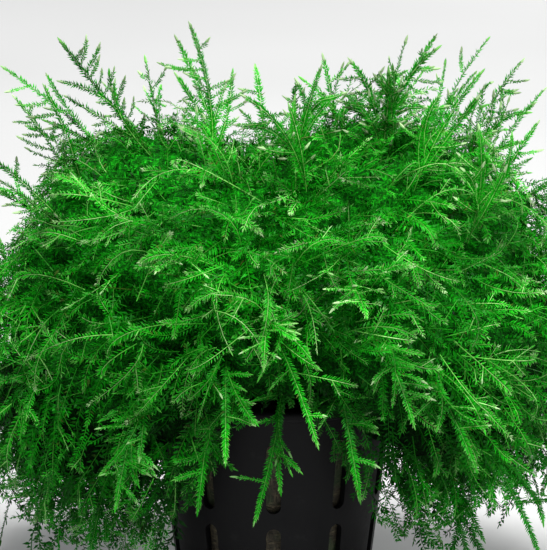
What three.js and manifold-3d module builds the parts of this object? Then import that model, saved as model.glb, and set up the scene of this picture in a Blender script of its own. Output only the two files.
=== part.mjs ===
// Potted java moss: a slotted plant pot with a rock wool plug, a dense cushion of tangled moss that
// bulges over the rim, and the long leafy shoots that stand, spread and hang out of the cushion.
// Millimetres, +Z up, origin at the centre of the pot's foot, the best side facing -Y.
import * as THREE from 'three';
import { mergeVertices } from 'three/addons/utils/BufferGeometryUtils.js';
import Module from 'manifold-3d';

const wasm = await Module();
wasm.setup();

// Driving dimensions
const POT_HEIGHT = 50;
const POT_TOP_RADIUS = 27;
const POT_FOOT_RADIUS = 20.5;
const POT_WALL = 1.6;
const FIT_GAP = 0.35; // clearance between pieces that touch
const MOSS_HALF_WIDTH = 64;
const MOSS_HALF_DEPTH = 49;
const MOSS_RISE = 41; // from the middle of the moss to its crown
const MOSS_SAG = 52; // from the middle of the moss to the lowest of its skirts

// Pot details
const POT_SIDES = 30;
const LIP_OVERHANG = 2;
const LIP_HEIGHT = 2.6;
const LIP_ROUND = 0.6;
const FOOT_ROUND = 0.8;
const SLOT_COUNT = 10;
const SLOT_WIDTH = 3.2;
const SLOT_TIERS = [[6.5, 22.5], [26, 42]]; // lowest and highest point of each row of slots
const DRAIN_HOLES = 6;
const DRAIN_RADIUS = 2.2;
const DRAIN_CIRCLE = 13;
const PLUG_SIDES = 20;
const PLUG_SHOULDER = 3; // how far the plug's top edge is worn down and in

// The cushion swells from its middle as a rounded box that sags beside and behind the pot, and is
// raised like an arch in front of it. Tufts lift its whole surface into peaks and hollows.
const MIDDLE = new THREE.Vector3(0, 0, 68);
const CUSHION_DETAIL = 9;
const SQUARENESS = 2.8;
const HIGH_SQUARENESS = 2.4; // above the middle, where the shoulders are rounder
const LOW_SQUARENESS = 3.2; // below the middle, where the skirts hang steeper
const ARCH_SAG = 21;
const ARCH_NARROWNESS = 5.5;
const LUMPINESS = 0.045;
const SADDLE_DEPTH = 0.15; // share by which a dip between two lobes lowers the crown
const SADDLE_PLACE = -0.07; // across the crown, as a direction from the middle
const SADDLE_WIDTH = 0.26;
const TUFT_HEIGHT = 8;
const TUFT_SINK = 0.4; // share of a tuft's height that the hollows lie below the form
const TUFT_SLANT = 2.2; // how far the tip of a tuft strays sideways
const CUSHION_CLEARANCE = 2 * FIT_GAP; // outward along a ray, which a tuft's steep side narrows

// Leafy shoots, flat like a feather with pairs of side twigs
const SHOOT_THICKNESS = 1.7;
const STEM_HALF_WIDTH = 1.2;
const TWIG_SPACING = 5.2;
const TWIG_REACH = 6.2; // sideways, for a twig near the foot of a shoot
const TWIG_LEAN = THREE.MathUtils.degToRad(60);
const POINT_LENGTH = 4; // the bare pointed end of a shoot

// Each shoot runs from its root inside the cushion to its tip, and bows sideways by the third vector.
const UPRIGHT_SHOOTS = [
  [[-23, -12, 99], [-46, -2, 126], [-1, 0, 1]],
  [[-40, -13, 88], [-49, -14, 118], [1.5, 0, 0]],
  [[-42, -5, 90], [-56, -4, 114], [1, 0, 1]],
  [[-42, -26, 88], [-60, -26, 105], [0, 0, 1]],
  [[-14, -12, 95], [-18, -4, 130], [2.5, 0, 0]],
  [[-23, 4, 95], [-28, 8, 120], [0, 0, 0]],
  [[7, -28, 98], [-6, -26, 118], [2, 0, 2]],
  [[4, -15, 99], [10, -14, 122], [-0.5, 0, 0]],
  [[23, -11, 98], [17, -5, 122], [2, 0, 2]],
  [[15, 3, 100], [11, 5, 121], [0, 0, 1]],
  [[25, 8, 100], [29, 11, 124], [-1, 0, 0]],
  [[23, -8, 100], [35, -6, 125], [-2.5, 0, 2]],
  [[32, 9, 96], [47, 13, 124], [-1, 0, 1]],
  [[30, -22, 97], [44, -20, 122], [-1, 0, 1]],
  [[40, -3, 92], [54, 2, 121], [-2, 0, 1]],
  [[44, 12, 88], [60, 18, 112], [-1, 0, 1]],
  [[42, -26, 90], [56, -24, 112], [0, 0, 0.5]],
  [[41, -34, 88], [43, -37, 113], [1.5, 0, 0]],
  [[46, 4, 84], [78, 9, 99], [0, 0, 2]],
  [[-46, 8, 82], [-76, 12, 95], [0, 0, 2]],
];
const SPREADING_SHOOTS = [
  [[-50, -10, 76], [-79, -9, 73], [0, 0, 3]],
  [[-48, 12, 66], [-76, 18, 53], [0, 0, 3]],
  [[50, -9, 76], [79, -8, 70], [0, 0, 3]],
  [[50, 14, 66], [79, 20, 55], [0, 0, 3]],
  [[-16, -36, 84], [-24, -63, 88], [0, 0, 3]],
  [[14, -36, 80], [19, -64, 79], [0, 0, 3]],
  [[-1, -36, 74], [-2, -62, 68], [0, 0, 3]],
];
const HANGING_SHOOTS = [
  [[-10, -36, 68], [-10, -55, 46], [0, -3, 2]],
  [[-12, -30, 60], [-16, -46, 33], [0, -3, 2]],
  [[3, -32, 62], [-4, -48, 31], [1, -3, 2]],
  [[-2, -40, 73], [9, -60, 51], [0, -2, 3]],
  [[13, -35, 62], [18, -55, 38], [0, -3, 2]],
  [[19, -38, 74], [29, -60, 55], [0, -2, 3]],
  [[29, -37, 66], [42, -58, 45], [0, -2, 3]],
  [[40, -32, 50], [56, -48, 24], [1, -2, 2]],
  [[36, -26, 42], [43, -44, 14], [0, -3, 1]],
  [[-27, -36, 60], [-33, -55, 36], [0, -2, 2]],
  [[-34, -28, 44], [-41, -44, 13], [0, -3, 1]],
  [[-44, -31, 62], [-66, -45, 43], [0, -1, 3]],
  [[-50, -10, 44], [-68, -18, 15], [-2, 0, 2]],
  [[51, -8, 44], [69, -16, 15], [2, 0, 2]],
];
const BACK_SHOOT_COUNT = 13;
const BACK_SECTOR = [2, 178]; // degrees round the pot, from +X past +Y
const BACK_RISE = [-38, 66]; // degrees above the horizon, as seen from the middle
const BACK_ROOT = 0.7; // share of the way from the middle to the surface
const BACK_REACH = [15, 22]; // how far a tip stands out of the cushion
const BACK_DROOP = 8;
const GOLDEN_SHARE = (Math.sqrt(5) - 1) / 2;

// A closed geometry as a solid for joining and cutting.
function solidOf(geometry) {
  const bare = geometry.clone();
  bare.deleteAttribute('normal');
  bare.deleteAttribute('uv');
  const merged = mergeVertices(bare, 1e-3);
  return new wasm.Manifold(new wasm.Mesh({
    numProp: 3,
    vertProperties: merged.attributes.position.array,
    triVerts: new Uint32Array(merged.index.array),
  }));
}

function geometryOf(solid) {
  const mesh = solid.getMesh();
  const geometry = new THREE.BufferGeometry();
  geometry.setAttribute('position', new THREE.BufferAttribute(mesh.vertProperties, 3));
  geometry.setIndex(new THREE.BufferAttribute(mesh.triVerts, 1));
  const flat = geometry.toNonIndexed();
  flat.computeVertexNormals();
  return flat;
}

// The largest body of a solid that a cut may have left in several, without the cut's slivers.
// Welding can part a body at a hair-thin neck, so the largest is taken once more after it.
function outermost(solid) {
  const largest = (a, b) => (a.volume() > b.volume() ? a : b);
  const body = solid.simplify(0.05).decompose().reduce(largest);
  return solidOf(geometryOf(body)).decompose().reduce(largest);
}

// A repeatable value from 0 to 1 for each whole number and purpose.
function vary(index, purpose) {
  const wave = Math.sin(index * 12.9898 + purpose * 78.233) * 43758.5453;
  return wave - Math.floor(wave);
}

function finish(color, roughness) {
  return new THREE.MeshStandardMaterial({ color, roughness, metalness: 0, flatShading: true });
}

// Lathe geometries turn about Y, so they are stood up along Z.
function turned(profile, sides) {
  const points = profile.map(([radius, height]) => new THREE.Vector2(radius, height));
  return new THREE.LatheGeometry(points, sides).rotateX(Math.PI / 2);
}

function potRadiusAt(height) {
  return THREE.MathUtils.mapLinear(height, 0, POT_HEIGHT, POT_FOOT_RADIUS, POT_TOP_RADIUS);
}

// A tapered cup with a lip, two rows of slots in its wall and drain holes in its floor.
function makePot() {
  const lipLow = POT_HEIGHT - LIP_HEIGHT;
  const lipRadius = POT_TOP_RADIUS + LIP_OVERHANG;
  let pot = solidOf(turned([
    [0, 0],
    [POT_FOOT_RADIUS - FOOT_ROUND, 0],
    [POT_FOOT_RADIUS, FOOT_ROUND],
    [potRadiusAt(lipLow), lipLow],
    [lipRadius, lipLow + LIP_ROUND],
    [lipRadius, POT_HEIGHT - LIP_ROUND],
    [lipRadius - LIP_ROUND, POT_HEIGHT],
    [POT_TOP_RADIUS - POT_WALL, POT_HEIGHT],
    [potRadiusAt(POT_WALL) - POT_WALL, POT_WALL],
    [0, POT_WALL],
  ], POT_SIDES));
  for (const [low, high] of SLOT_TIERS) {
    const middle = (low + high) / 2;
    for (let i = 0; i < SLOT_COUNT; i += 1) {
      const slot = new THREE.BoxGeometry(POT_WALL * 4, SLOT_WIDTH, high - low)
        .translate(potRadiusAt(middle) - POT_WALL / 2, 0, middle)
        .rotateZ((i + 0.5) * 2 * Math.PI / SLOT_COUNT);
      pot = pot.subtract(solidOf(slot));
    }
  }
  for (let i = 0; i < DRAIN_HOLES; i += 1) {
    const hole = new THREE.CylinderGeometry(DRAIN_RADIUS, DRAIN_RADIUS, POT_WALL * 3, 8)
      .rotateX(Math.PI / 2)
      .translate(DRAIN_CIRCLE, 0, POT_WALL / 2)
      .rotateZ(i * 2 * Math.PI / DRAIN_HOLES);
    pot = pot.subtract(solidOf(hole));
  }
  return pot;
}

// A tapered plug of rock wool that fills the pot up to its lip.
function makePlug() {
  const low = POT_WALL + FIT_GAP;
  const inside = (height) => potRadiusAt(height) - POT_WALL - FIT_GAP;
  return solidOf(turned([
    [0, low],
    [inside(low), low],
    [inside(POT_HEIGHT - PLUG_SHOULDER), POT_HEIGHT - PLUG_SHOULDER],
    [inside(POT_HEIGHT) - PLUG_SHOULDER, POT_HEIGHT],
    [0, POT_HEIGHT],
  ], PLUG_SIDES));
}

// The room that the pot and its plug take up, which the moss is shaped around.
function potRoom() {
  const lipLow = POT_HEIGHT - LIP_HEIGHT - FIT_GAP;
  const lipRadius = POT_TOP_RADIUS + LIP_OVERHANG + FIT_GAP;
  const below = -POT_HEIGHT / 10;
  return solidOf(turned([
    [0, below],
    [POT_FOOT_RADIUS + FIT_GAP, below],
    [potRadiusAt(lipLow) + FIT_GAP, lipLow],
    [lipRadius, lipLow],
    [lipRadius, POT_HEIGHT + FIT_GAP],
    [0, POT_HEIGHT + FIT_GAP],
  ], POT_SIDES));
}

// Distance from the moss's middle to the cushion's surface, swollen and dented by slow waves, with a
// saddle between the crown's two lobes.
function cushionRadius(direction) {
  const { x, y, z } = direction;
  const turnedAway = 1 + y / Math.max(Math.hypot(x, y), 1e-6);
  const arch = Math.exp(-ARCH_NARROWNESS * turnedAway);
  const halfHeight = z > 0 ? MOSS_RISE : THREE.MathUtils.lerp(MOSS_SAG, ARCH_SAG, arch);
  const power = z > 0 ? HIGH_SQUARENESS : LOW_SQUARENESS;
  const across = Math.abs(x / MOSS_HALF_WIDTH) ** SQUARENESS + Math.abs(y / MOSS_HALF_DEPTH) ** SQUARENESS;
  const sum = across ** (power / SQUARENESS) + Math.abs(z / halfHeight) ** power;
  const lumps = Math.sin(6.1 * z + 3.1 * x + 0.4) - Math.sin(5.3 * x + 2.2 * z) * Math.sin(4.7 * y + 1.3)
    + 0.7 * Math.sin(9.2 * x - 3.4 * z) * Math.sin(8.3 * y + 0.6);
  const saddle = Math.max(z, 0) * Math.exp(-(((x - SADDLE_PLACE) / SADDLE_WIDTH) ** 2));
  return sum ** (-1 / power) * (1 + LUMPINESS * lumps - SADDLE_DEPTH * saddle);
}

// A geodesic ball whose points are moved out to the cushion's surface, each by its own tuft.
function makeCushion(swell = 0) {
  const ball = new THREE.IcosahedronGeometry(1, CUSHION_DETAIL);
  ball.deleteAttribute('normal');
  ball.deleteAttribute('uv');
  const geometry = mergeVertices(ball, 1e-4);
  const places = geometry.attributes.position;
  const direction = new THREE.Vector3();
  for (let i = 0; i < places.count; i += 1) {
    direction.fromBufferAttribute(places, i).normalize();
    const tuft = vary(i, 1) ** 1.5;
    const reach = cushionRadius(direction) + TUFT_HEIGHT * (tuft - TUFT_SINK) + swell;
    const place = direction.multiplyScalar(reach).add(MIDDLE);
    place.x += tuft * TUFT_SLANT * (2 * vary(i, 2) - 1);
    place.y += tuft * TUFT_SLANT * (2 * vary(i, 3) - 1);
    place.z += tuft * TUFT_SLANT * (place.z > MIDDLE.z ? 0.6 : -0.6);
    places.setXYZ(i, ...place.toArray());
  }
  return solidOf(geometry);
}

function shootLine([root, tip, bow]) {
  const start = new THREE.Vector3(...root);
  const end = new THREE.Vector3(...tip);
  const middle = start.clone().lerp(end, 0.5).addScaledVector(new THREE.Vector3(...bow), 2);
  return new THREE.QuadraticBezierCurve3(start, middle, end);
}

// The direction that a shoot's flat side looks: out from the pot's axis, and square to the shoot.
function shootFace(line) {
  const middle = line.getPoint(0.5);
  const along = line.getTangent(0.5);
  const out = new THREE.Vector3(middle.x * 0.25, middle.y - 8, 0).normalize();
  if (middle.y > 20) out.set(middle.x, middle.y, 10).normalize();
  out.addScaledVector(along, -out.dot(along));
  return out.length() > 0.3 ? out.normalize() : new THREE.Vector3(0, 0, 1);
}

// The outline of a shoot laid flat, its length along Y: a notch and a leaning twig in turn up one
// side, a pointed end, and the same down the other side.
function shootOutline(length, index, swell) {
  const count = Math.max(2, Math.round((length - POINT_LENGTH) / TWIG_SPACING));
  const step = (length - POINT_LENGTH) / count;
  const halfWidth = STEM_HALF_WIDTH + swell;
  const sidePoints = (side) => {
    const points = [];
    for (let i = 0; i < count; i += 1) {
      const share = i / count;
      const reach = TWIG_REACH * (1 - 0.6 * share) * (0.65 + 0.6 * vary(index, i * 2 + side)) + swell * 1.5;
      const rise = Math.min(reach / Math.tan(TWIG_LEAN), step * 1.5);
      points.push(new THREE.Vector2(halfWidth * (1 - 0.4 * share), i * step + swell));
      points.push(new THREE.Vector2(halfWidth + reach, (i + 0.35) * step + rise + swell));
    }
    points.push(new THREE.Vector2(halfWidth * 0.6, length - POINT_LENGTH + swell));
    return points;
  };
  const right = sidePoints(0);
  const left = sidePoints(1).map((point) => new THREE.Vector2(-point.x, point.y)).reverse();
  return new THREE.Shape([...right, new THREE.Vector2(0, length + 2 * swell), ...left]);
}

// The outline is given its thickness, thinner out along the twigs, and bent along the shoot's line.
function makeShoot(line, index, swell = 0) {
  const face = shootFace(line);
  const length = line.getLength();
  const outline = shootOutline(length, index, swell);
  const geometry = new THREE.ExtrudeGeometry(outline, { depth: 1, bevelEnabled: false, steps: 1 });
  const places = geometry.attributes.position;
  for (let i = 0; i < places.count; i += 1) {
    const [across, along, layer] = [places.getX(i), places.getY(i) / length, places.getZ(i) - 0.5];
    const share = THREE.MathUtils.clamp(along, 0, 1);
    const tangent = line.getTangentAt(share);
    const sideways = new THREE.Vector3().crossVectors(tangent, face).normalize();
    const out = new THREE.Vector3().crossVectors(sideways, tangent).normalize();
    const taper = 1 / (1 + Math.abs(across) * 0.3);
    const place = line.getPointAt(share)
      .addScaledVector(tangent, (along - share) * length)
      .addScaledVector(sideways, across)
      .addScaledVector(out, layer * (SHOOT_THICKNESS * taper + 2 * swell));
    places.setXYZ(i, ...place.toArray());
  }
  return solidOf(geometry);
}

// Shoots behind and beside the pot, where the golden ratio spreads them evenly.
function backShoots() {
  return Array.from({ length: BACK_SHOOT_COUNT }, (_, i) => {
    const share = (0.35 + i * GOLDEN_SHARE) % 1;
    const turn = THREE.MathUtils.degToRad(THREE.MathUtils.lerp(...BACK_SECTOR, share));
    const rise = THREE.MathUtils.degToRad(THREE.MathUtils.lerp(...BACK_RISE, (i + 0.5) / BACK_SHOOT_COUNT));
    const direction = new THREE.Vector3(
      Math.cos(turn) * Math.cos(rise),
      Math.sin(turn) * Math.cos(rise),
      Math.sin(rise),
    );
    const surface = cushionRadius(direction);
    const reach = THREE.MathUtils.lerp(...BACK_REACH, vary(i, 5));
    const root = MIDDLE.clone().addScaledVector(direction, surface * BACK_ROOT);
    const tip = MIDDLE.clone().addScaledVector(direction, surface + reach);
    if (rise < 0) tip.z -= BACK_DROOP;
    const bow = [2 * vary(i, 6) - 1, 2 * vary(i, 7) - 1, rise < 0 ? 3 : 1.5];
    return [root.toArray(), tip.toArray(), bow];
  });
}

const SHOOT_FAMILIES = [
  ['upright_shoot', UPRIGHT_SHOOTS],
  ['spreading_shoot', SPREADING_SHOOTS],
  ['hanging_shoot', HANGING_SHOOTS],
  ['back_shoot', backShoots()],
];

const potFinish = finish(0x17181a, 0.55);
const plugFinish = finish(0x6b6142, 0.95);
const cushionFinish = finish(0x1d5c14, 0.75);
const shootFinish = finish(0x2f9a22, 0.6);

function addMesh(parent, name, solid, material, place = new THREE.Vector3()) {
  const geometry = geometryOf(solid).translate(-place.x, -place.y, -place.z);
  const mesh = new THREE.Mesh(geometry, material);
  mesh.name = name;
  mesh.position.copy(place);
  parent.add(mesh);
}

const pottedMoss = new THREE.Group();
pottedMoss.name = 'potted_java_moss';

const holder = new THREE.Group();
holder.name = 'holder';
addMesh(holder, 'pot', makePot(), potFinish);
addMesh(holder, 'rock_wool_plug', makePlug(), plugFinish);
pottedMoss.add(holder);

const moss = new THREE.Group();
moss.name = 'moss';
addMesh(moss, 'moss_cushion', outermost(makeCushion().subtract(potRoom())), cushionFinish);
pottedMoss.add(moss);

// Every shoot is cut clear of the cushion that it grows out of, the pot, and the shoots before it.
const taken = [makeCushion(CUSHION_CLEARANCE), potRoom()];
let shootIndex = 0;
for (const [family, shoots] of SHOOT_FAMILIES) {
  const group = new THREE.Group();
  group.name = `${family}s`;
  shoots.forEach((shoot, i) => {
    const line = shootLine(shoot);
    const number = String(i + 1).padStart(2, '0');
    const clear = taken.reduce((left, other) => left.subtract(other), makeShoot(line, shootIndex));
    addMesh(group, `${family}_${number}`, outermost(clear), shootFinish, line.getPoint(0));
    taken.push(makeShoot(line, shootIndex, FIT_GAP));
    shootIndex += 1;
  });
  moss.add(group);
}

export default pottedMoss;
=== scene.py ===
"""Potted java moss, dressed: thousands of small leafy fronds on the cushion's form, the long shoots, the
slotted pot with its rock wool plug, and a plain pale studio. Lengths are in metres, +Z up, front on -Y."""
import math

import bpy
import numpy as np
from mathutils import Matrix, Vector


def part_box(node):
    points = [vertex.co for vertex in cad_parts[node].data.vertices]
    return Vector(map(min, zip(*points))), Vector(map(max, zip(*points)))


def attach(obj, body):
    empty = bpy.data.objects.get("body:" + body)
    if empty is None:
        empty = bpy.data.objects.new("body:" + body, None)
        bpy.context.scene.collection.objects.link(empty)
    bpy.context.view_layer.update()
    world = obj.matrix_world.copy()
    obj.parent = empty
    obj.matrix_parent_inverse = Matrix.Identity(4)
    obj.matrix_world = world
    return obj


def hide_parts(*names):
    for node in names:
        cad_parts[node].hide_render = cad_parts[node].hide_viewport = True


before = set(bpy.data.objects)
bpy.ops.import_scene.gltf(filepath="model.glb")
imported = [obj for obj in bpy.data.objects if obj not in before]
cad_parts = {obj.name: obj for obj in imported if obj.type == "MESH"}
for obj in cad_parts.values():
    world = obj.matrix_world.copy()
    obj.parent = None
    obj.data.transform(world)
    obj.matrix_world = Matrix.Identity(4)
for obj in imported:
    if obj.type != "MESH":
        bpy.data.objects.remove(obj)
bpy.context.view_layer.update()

MM = 0.001

# The photograph's frame, and where the camera stands for it
FRAME_HEIGHT = 550
MM_PER_PIXEL = 0.22
CAMERA_DISTANCE = 900 * MM
CAMERA_ELEVATION = math.radians(12)
CAMERA_TARGET = Vector((0, 0, 74 * MM))
SENSOR = 36.0

# The pot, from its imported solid
POT_LOW, POT_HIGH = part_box("pot")
POT_HEIGHT = POT_HIGH.z
LIP_RADIUS = POT_HIGH.x
LIP_OVERHANG = 2 * MM
POT_TOP_RADIUS = LIP_RADIUS - LIP_OVERHANG
POT_FOOT_RADIUS = 20.5 * MM
POT_WALL = 1.6 * MM
LIP_HEIGHT = 2.6 * MM
SLOT_COUNT = 10
SLOT_WIDTH = 3.2 * MM
SLOT_TIERS = ((6.5 * MM, 22.5 * MM), (26 * MM, 42 * MM))
DRAIN_HOLES = 6
DRAIN_RADIUS = 2.2 * MM
DRAIN_CIRCLE = 13 * MM
DRAIN_SIDES = 20
POT_COLUMNS = 120
POT_ROUNDS = (1.0 * MM, 0.6 * MM, 0.9 * MM, 1.1 * MM, 0.5 * MM, 1.2 * MM)  # from the foot to the inner floor

# How far the moss keeps from the pot
LIP_MARGIN = 1 * MM
MOUTH_MARGIN = 2 * MM
STEM_MARGIN = 1.5 * MM
MOUTH_DEPTH = 8 * MM
MOUTH_EDGE = 4 * MM

# The cushion's form, as its solid has it
MIDDLE = np.array((0, 0, 68)) * MM
HALF_WIDTH = 64 * MM
HALF_DEPTH = 49 * MM
RISE = 41 * MM
SAG = 52 * MM
ARCH_SAG = 21 * MM
ARCH_NARROWNESS = 5.5
SQUARENESS = 2.8
HIGH_SQUARENESS = 2.4
LOW_SQUARENESS = 3.2
ARCH_CENTRE = 8 * MM
ARCH_HALF_WIDTH = 25 * MM
ARCH_TOP = 66 * MM
ARCH_SHARE = 0.5
BEHIND_SHARE = 0.9
# Painted shade: the place, width and top of the hollow over the arch, where the tangle is darkened
HOLLOW_PLACE = 2 * MM
HOLLOW_WIDTH = 28 * MM
HOLLOW_TOP = 74 * MM
HANG_BELOW = 62 * MM
HANG_FADE = 28 * MM
SIDE_REACH = 3 * MM
LEFT_SHOULDER_DROP = 3 * MM
LOWEST_TIP = 3 * MM
LUMPINESS = 0.045
SADDLE_DEPTH = 0.15
SADDLE_PLACE = -0.07
SADDLE_WIDTH = 0.26

# The heart inside it, dark partly as old moss and partly as painted shade
HEART_DEPTH = 6.5 * MM
HEART_MORE_BELOW = 4.5 * MM
HIDDEN_DEPTH = 2.5 * MM  # a leaf this deep in the heart doesn't show
HEART_ROWS = 84
HEART_COLUMNS = 140
HEART_OFF_MOUTH = 0.8 * MM
HEART_WAVES = ((14, 1.6 * MM), (23, 1.1 * MM), (41, 0.8 * MM), (67, 0.5 * MM))

# How the tangle grows in the cushion's skin, and how it is cut into pieces
CROWN_PIECE_ABOVE = 101 * MM
BEHIND_FROM = 15 * MM
FLOW_SOURCE = 88 * MM
FLOW_REACH = 28 * MM
SWIRL_LENGTH = 30 * MM
# Painted shade: the tangle is darker below these heights and in the hollow over the arch
SHADED_BELOW = 10 * MM
SHADE_FADE = 50 * MM
HOLLOW_FADE = 16 * MM
TANGLE_SEED = 11

# Leafy stems: a leaf is this wide, and this far from the next one on its side of the stem
LEAF_WIDTH = 0.34 * MM
LEAF_KEEL = 0.07 * MM
LEAF_SPACING = 0.58 * MM
STEM_RADIUS = 0.12 * MM
STEM_RING_SPACING = 2.8 * MM
BUD_LENGTH = 1.8 * MM
BUD_RADIUS = 0.24 * MM

# Each shoot runs from its root to its tip and bows by the third vector, in millimetres.
UPRIGHT_SHOOTS = (
    ((-23, -12, 99), (-46, -2, 126), (-1, 0, 1)),
    ((-40, -13, 88), (-49, -14, 118), (1.5, 0, 0)),
    ((-42, -5, 90), (-56, -4, 114), (1, 0, 1)),
    ((-42, -26, 88), (-60, -26, 105), (0, 0, 1)),
    ((-14, -12, 95), (-18, -4, 130), (2.5, 0, 0)),
    ((-23, 4, 95), (-28, 8, 120), (0, 0, 0)),
    ((7, -28, 98), (-6, -26, 118), (2, 0, 2)),
    ((4, -15, 99), (10, -14, 122), (-0.5, 0, 0)),
    ((23, -11, 98), (17, -5, 122), (2, 0, 2)),
    ((15, 3, 100), (11, 5, 121), (0, 0, 1)),
    ((25, 8, 100), (29, 11, 124), (-1, 0, 0)),
    ((23, -8, 100), (35, -6, 125), (-2.5, 0, 2)),
    ((32, 9, 96), (47, 13, 124), (-1, 0, 1)),
    ((30, -22, 97), (44, -20, 122), (-1, 0, 1)),
    ((40, -3, 92), (54, 2, 121), (-2, 0, 1)),
    ((44, 12, 88), (60, 18, 112), (-1, 0, 1)),
    ((42, -26, 90), (56, -24, 112), (0, 0, 0.5)),
    ((41, -34, 88), (43, -37, 113), (1.5, 0, 0)),
    ((46, 4, 84), (78, 9, 99), (0, 0, 2)),
    ((-46, 8, 82), (-76, 12, 95), (0, 0, 2)),
)
SPREADING_SHOOTS = (
    ((-50, -10, 76), (-79, -9, 73), (0, 0, 3)),
    ((-48, 12, 66), (-76, 18, 53), (0, 0, 3)),
    ((50, -9, 76), (79, -8, 70), (0, 0, 3)),
    ((50, 14, 66), (79, 20, 55), (0, 0, 3)),
    ((-16, -36, 84), (-24, -63, 88), (0, 0, 3)),
    ((14, -36, 80), (19, -64, 79), (0, 0, 3)),
    ((-1, -36, 74), (-2, -62, 68), (0, 0, 3)),
)
HANGING_SHOOTS = (
    ((-10, -36, 68), (-10, -55, 46), (0, -3, 2)),
    ((-12, -30, 60), (-16, -46, 33), (0, -3, 2)),
    ((3, -32, 62), (-4, -48, 31), (1, -3, 2)),
    ((-2, -40, 73), (9, -60, 51), (0, -2, 3)),
    ((13, -35, 62), (18, -55, 38), (0, -3, 2)),
    ((19, -38, 74), (29, -60, 55), (0, -2, 3)),
    ((29, -37, 66), (42, -58, 45), (0, -2, 3)),
    ((40, -32, 50), (56, -48, 24), (1, -2, 2)),
    ((36, -26, 42), (43, -44, 14), (0, -3, 1)),
    ((-27, -36, 60), (-33, -55, 36), (0, -2, 2)),
    ((-34, -28, 44), (-41, -44, 13), (0, -3, 1)),
    ((-44, -31, 62), (-66, -45, 43), (0, -1, 3)),
    ((-50, -10, 44), (-68, -18, 15), (-2, 0, 2)),
    ((51, -8, 44), (69, -16, 15), (2, 0, 2)),
)
BRANCHED = (1, 3, 5, 6, 9, 12, 15, 20)
LONE = (2, 3, 4)  # upright shoots that stand nearly alone
LONE_COMPANIONS = 1
SHOOT_SEED = 500
BACK_SHOOT_COUNT = 13
BACK_SECTOR = (2, 178)
BACK_RISE = (-38, 66)
BACK_ROOT = 0.7
BACK_REACH = (15 * MM, 22 * MM)
BACK_DROOP = 8 * MM
GOLDEN_SHARE = (math.sqrt(5) - 1) / 2

TRANSLUCENCY = 0.42
FLOOR_RADIUS = 3.0
FLOOR_SIDES = 96


def unit(vectors):
    """Each row divided by its length."""
    return vectors / np.maximum(np.linalg.norm(vectors, axis=-1, keepdims=True), 1e-12)


def vary(index, purpose):
    """A repeatable value from 0 to 1: the fraction of a large multiple of a sine."""
    wave = math.sin(index * 12.9898 + purpose * 78.233) * 43758.5453
    return wave - math.floor(wave)


def parabola(path, t):
    """Place and unit direction at t on each row's parabola, (1-t)^2 A + 2t(1-t) B + t^2 C, whose three
    control points are path[:, 0], path[:, 1] and path[:, 2]."""
    t = t[:, None]
    a, b, c = path[:, 0], path[:, 1], path[:, 2]
    place = (1 - t) ** 2 * a + 2 * t * (1 - t) * b + t ** 2 * c
    return place, unit((1 - t) * (b - a) + t * (c - b))


def parabola_length(path):
    """Length of each parabola, as the sum of eight chords."""
    steps = np.linspace(0, 1, 9)
    places = np.stack([parabola(path, np.full(len(path), s))[0] for s in steps])
    return np.linalg.norm(np.diff(places, axis=0), axis=2).sum(0)


def cushion_radius(direction):
    """Distance from the middle of the moss to the cushion's surface: a superellipsoid, squarer in its lower
    half, which is shallow over the front arch, times one plus slow sine waves less a saddle on the crown."""
    x, y, z = direction.T
    turned_away = 1 + y / np.maximum(np.hypot(x, y), 1e-9)
    arch = np.exp(-ARCH_NARROWNESS * turned_away)
    half_height = np.where(z > 0, RISE, SAG + (ARCH_SAG - SAG) * arch)
    power = np.where(z > 0, HIGH_SQUARENESS, LOW_SQUARENESS)
    level = (np.abs(x / HALF_WIDTH) ** SQUARENESS + np.abs(y / HALF_DEPTH) ** SQUARENESS) ** (1 / SQUARENESS)
    total = level ** power + np.abs(z / half_height) ** power
    lumps = (np.sin(6.1 * z + 3.1 * x + 0.4) - np.sin(5.3 * x + 2.2 * z) * np.sin(4.7 * y + 1.3)
             + 0.7 * np.sin(9.2 * x - 3.4 * z) * np.sin(8.3 * y + 0.6))
    saddle = np.maximum(z, 0) * np.exp(-((x - SADDLE_PLACE) / SADDLE_WIDTH) ** 2)
    return total ** (-1 / power) * (1 + LUMPINESS * lumps - SADDLE_DEPTH * saddle)


def heart_depth(direction):
    """How far the dark heart of the tangle lies inside the cushion's surface: 1.7 times as far in under it as
    above, and by a straight line between the two."""
    return HEART_DEPTH + HEART_MORE_BELOW * np.clip((-0.3 - direction[:, 2]) / 0.3, 0, 1)


def in_heart(places):
    """Whether each place is so deep inside the rough heart that nothing shows."""
    out = places - MIDDLE
    radius = np.linalg.norm(out, axis=1)
    direction = out / np.maximum(radius, 1e-9)[:, None]
    return radius < cushion_radius(direction) - heart_depth(direction) - HIDDEN_DEPTH


def cushion_normal(direction):
    """Outward direction of the smooth ellipsoid that the cushion is swollen from."""
    half = np.array((HALF_WIDTH, HALF_DEPTH, (RISE + SAG) / 2))
    return unit(direction / half ** 2)


def pot_radius_at(height):
    """Outer radius of the pot's wall, by a straight line from its foot to its top."""
    share = np.clip(height / POT_HEIGHT, 0, 1)
    return POT_FOOT_RADIUS + (POT_TOP_RADIUS - POT_FOOT_RADIUS) * share


def clear_of_pot(places, margin):
    """Places inside the pot's outline, grown by the margin, are moved level out from its axis to that
    outline, and places over its mouth are lifted to its lip."""
    moved = places.copy()
    reach = np.hypot(moved[:, 0], moved[:, 1])
    wanted = np.where(moved[:, 2] > POT_HEIGHT - LIP_HEIGHT - margin, LIP_RADIUS,
                      pot_radius_at(moved[:, 2])) + margin
    inside = (moved[:, 2] < POT_HEIGHT + margin) & (reach < wanted)
    over_mouth = inside & (moved[:, 2] > POT_HEIGHT - MOUTH_DEPTH) & (reach < POT_TOP_RADIUS - MOUTH_EDGE)
    moved[over_mouth, 2] = POT_HEIGHT + margin
    beside = inside & ~over_mouth
    grow = wanted / np.maximum(reach, 1e-6)
    moved[beside, :2] *= grow[beside, None]
    return moved


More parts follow.
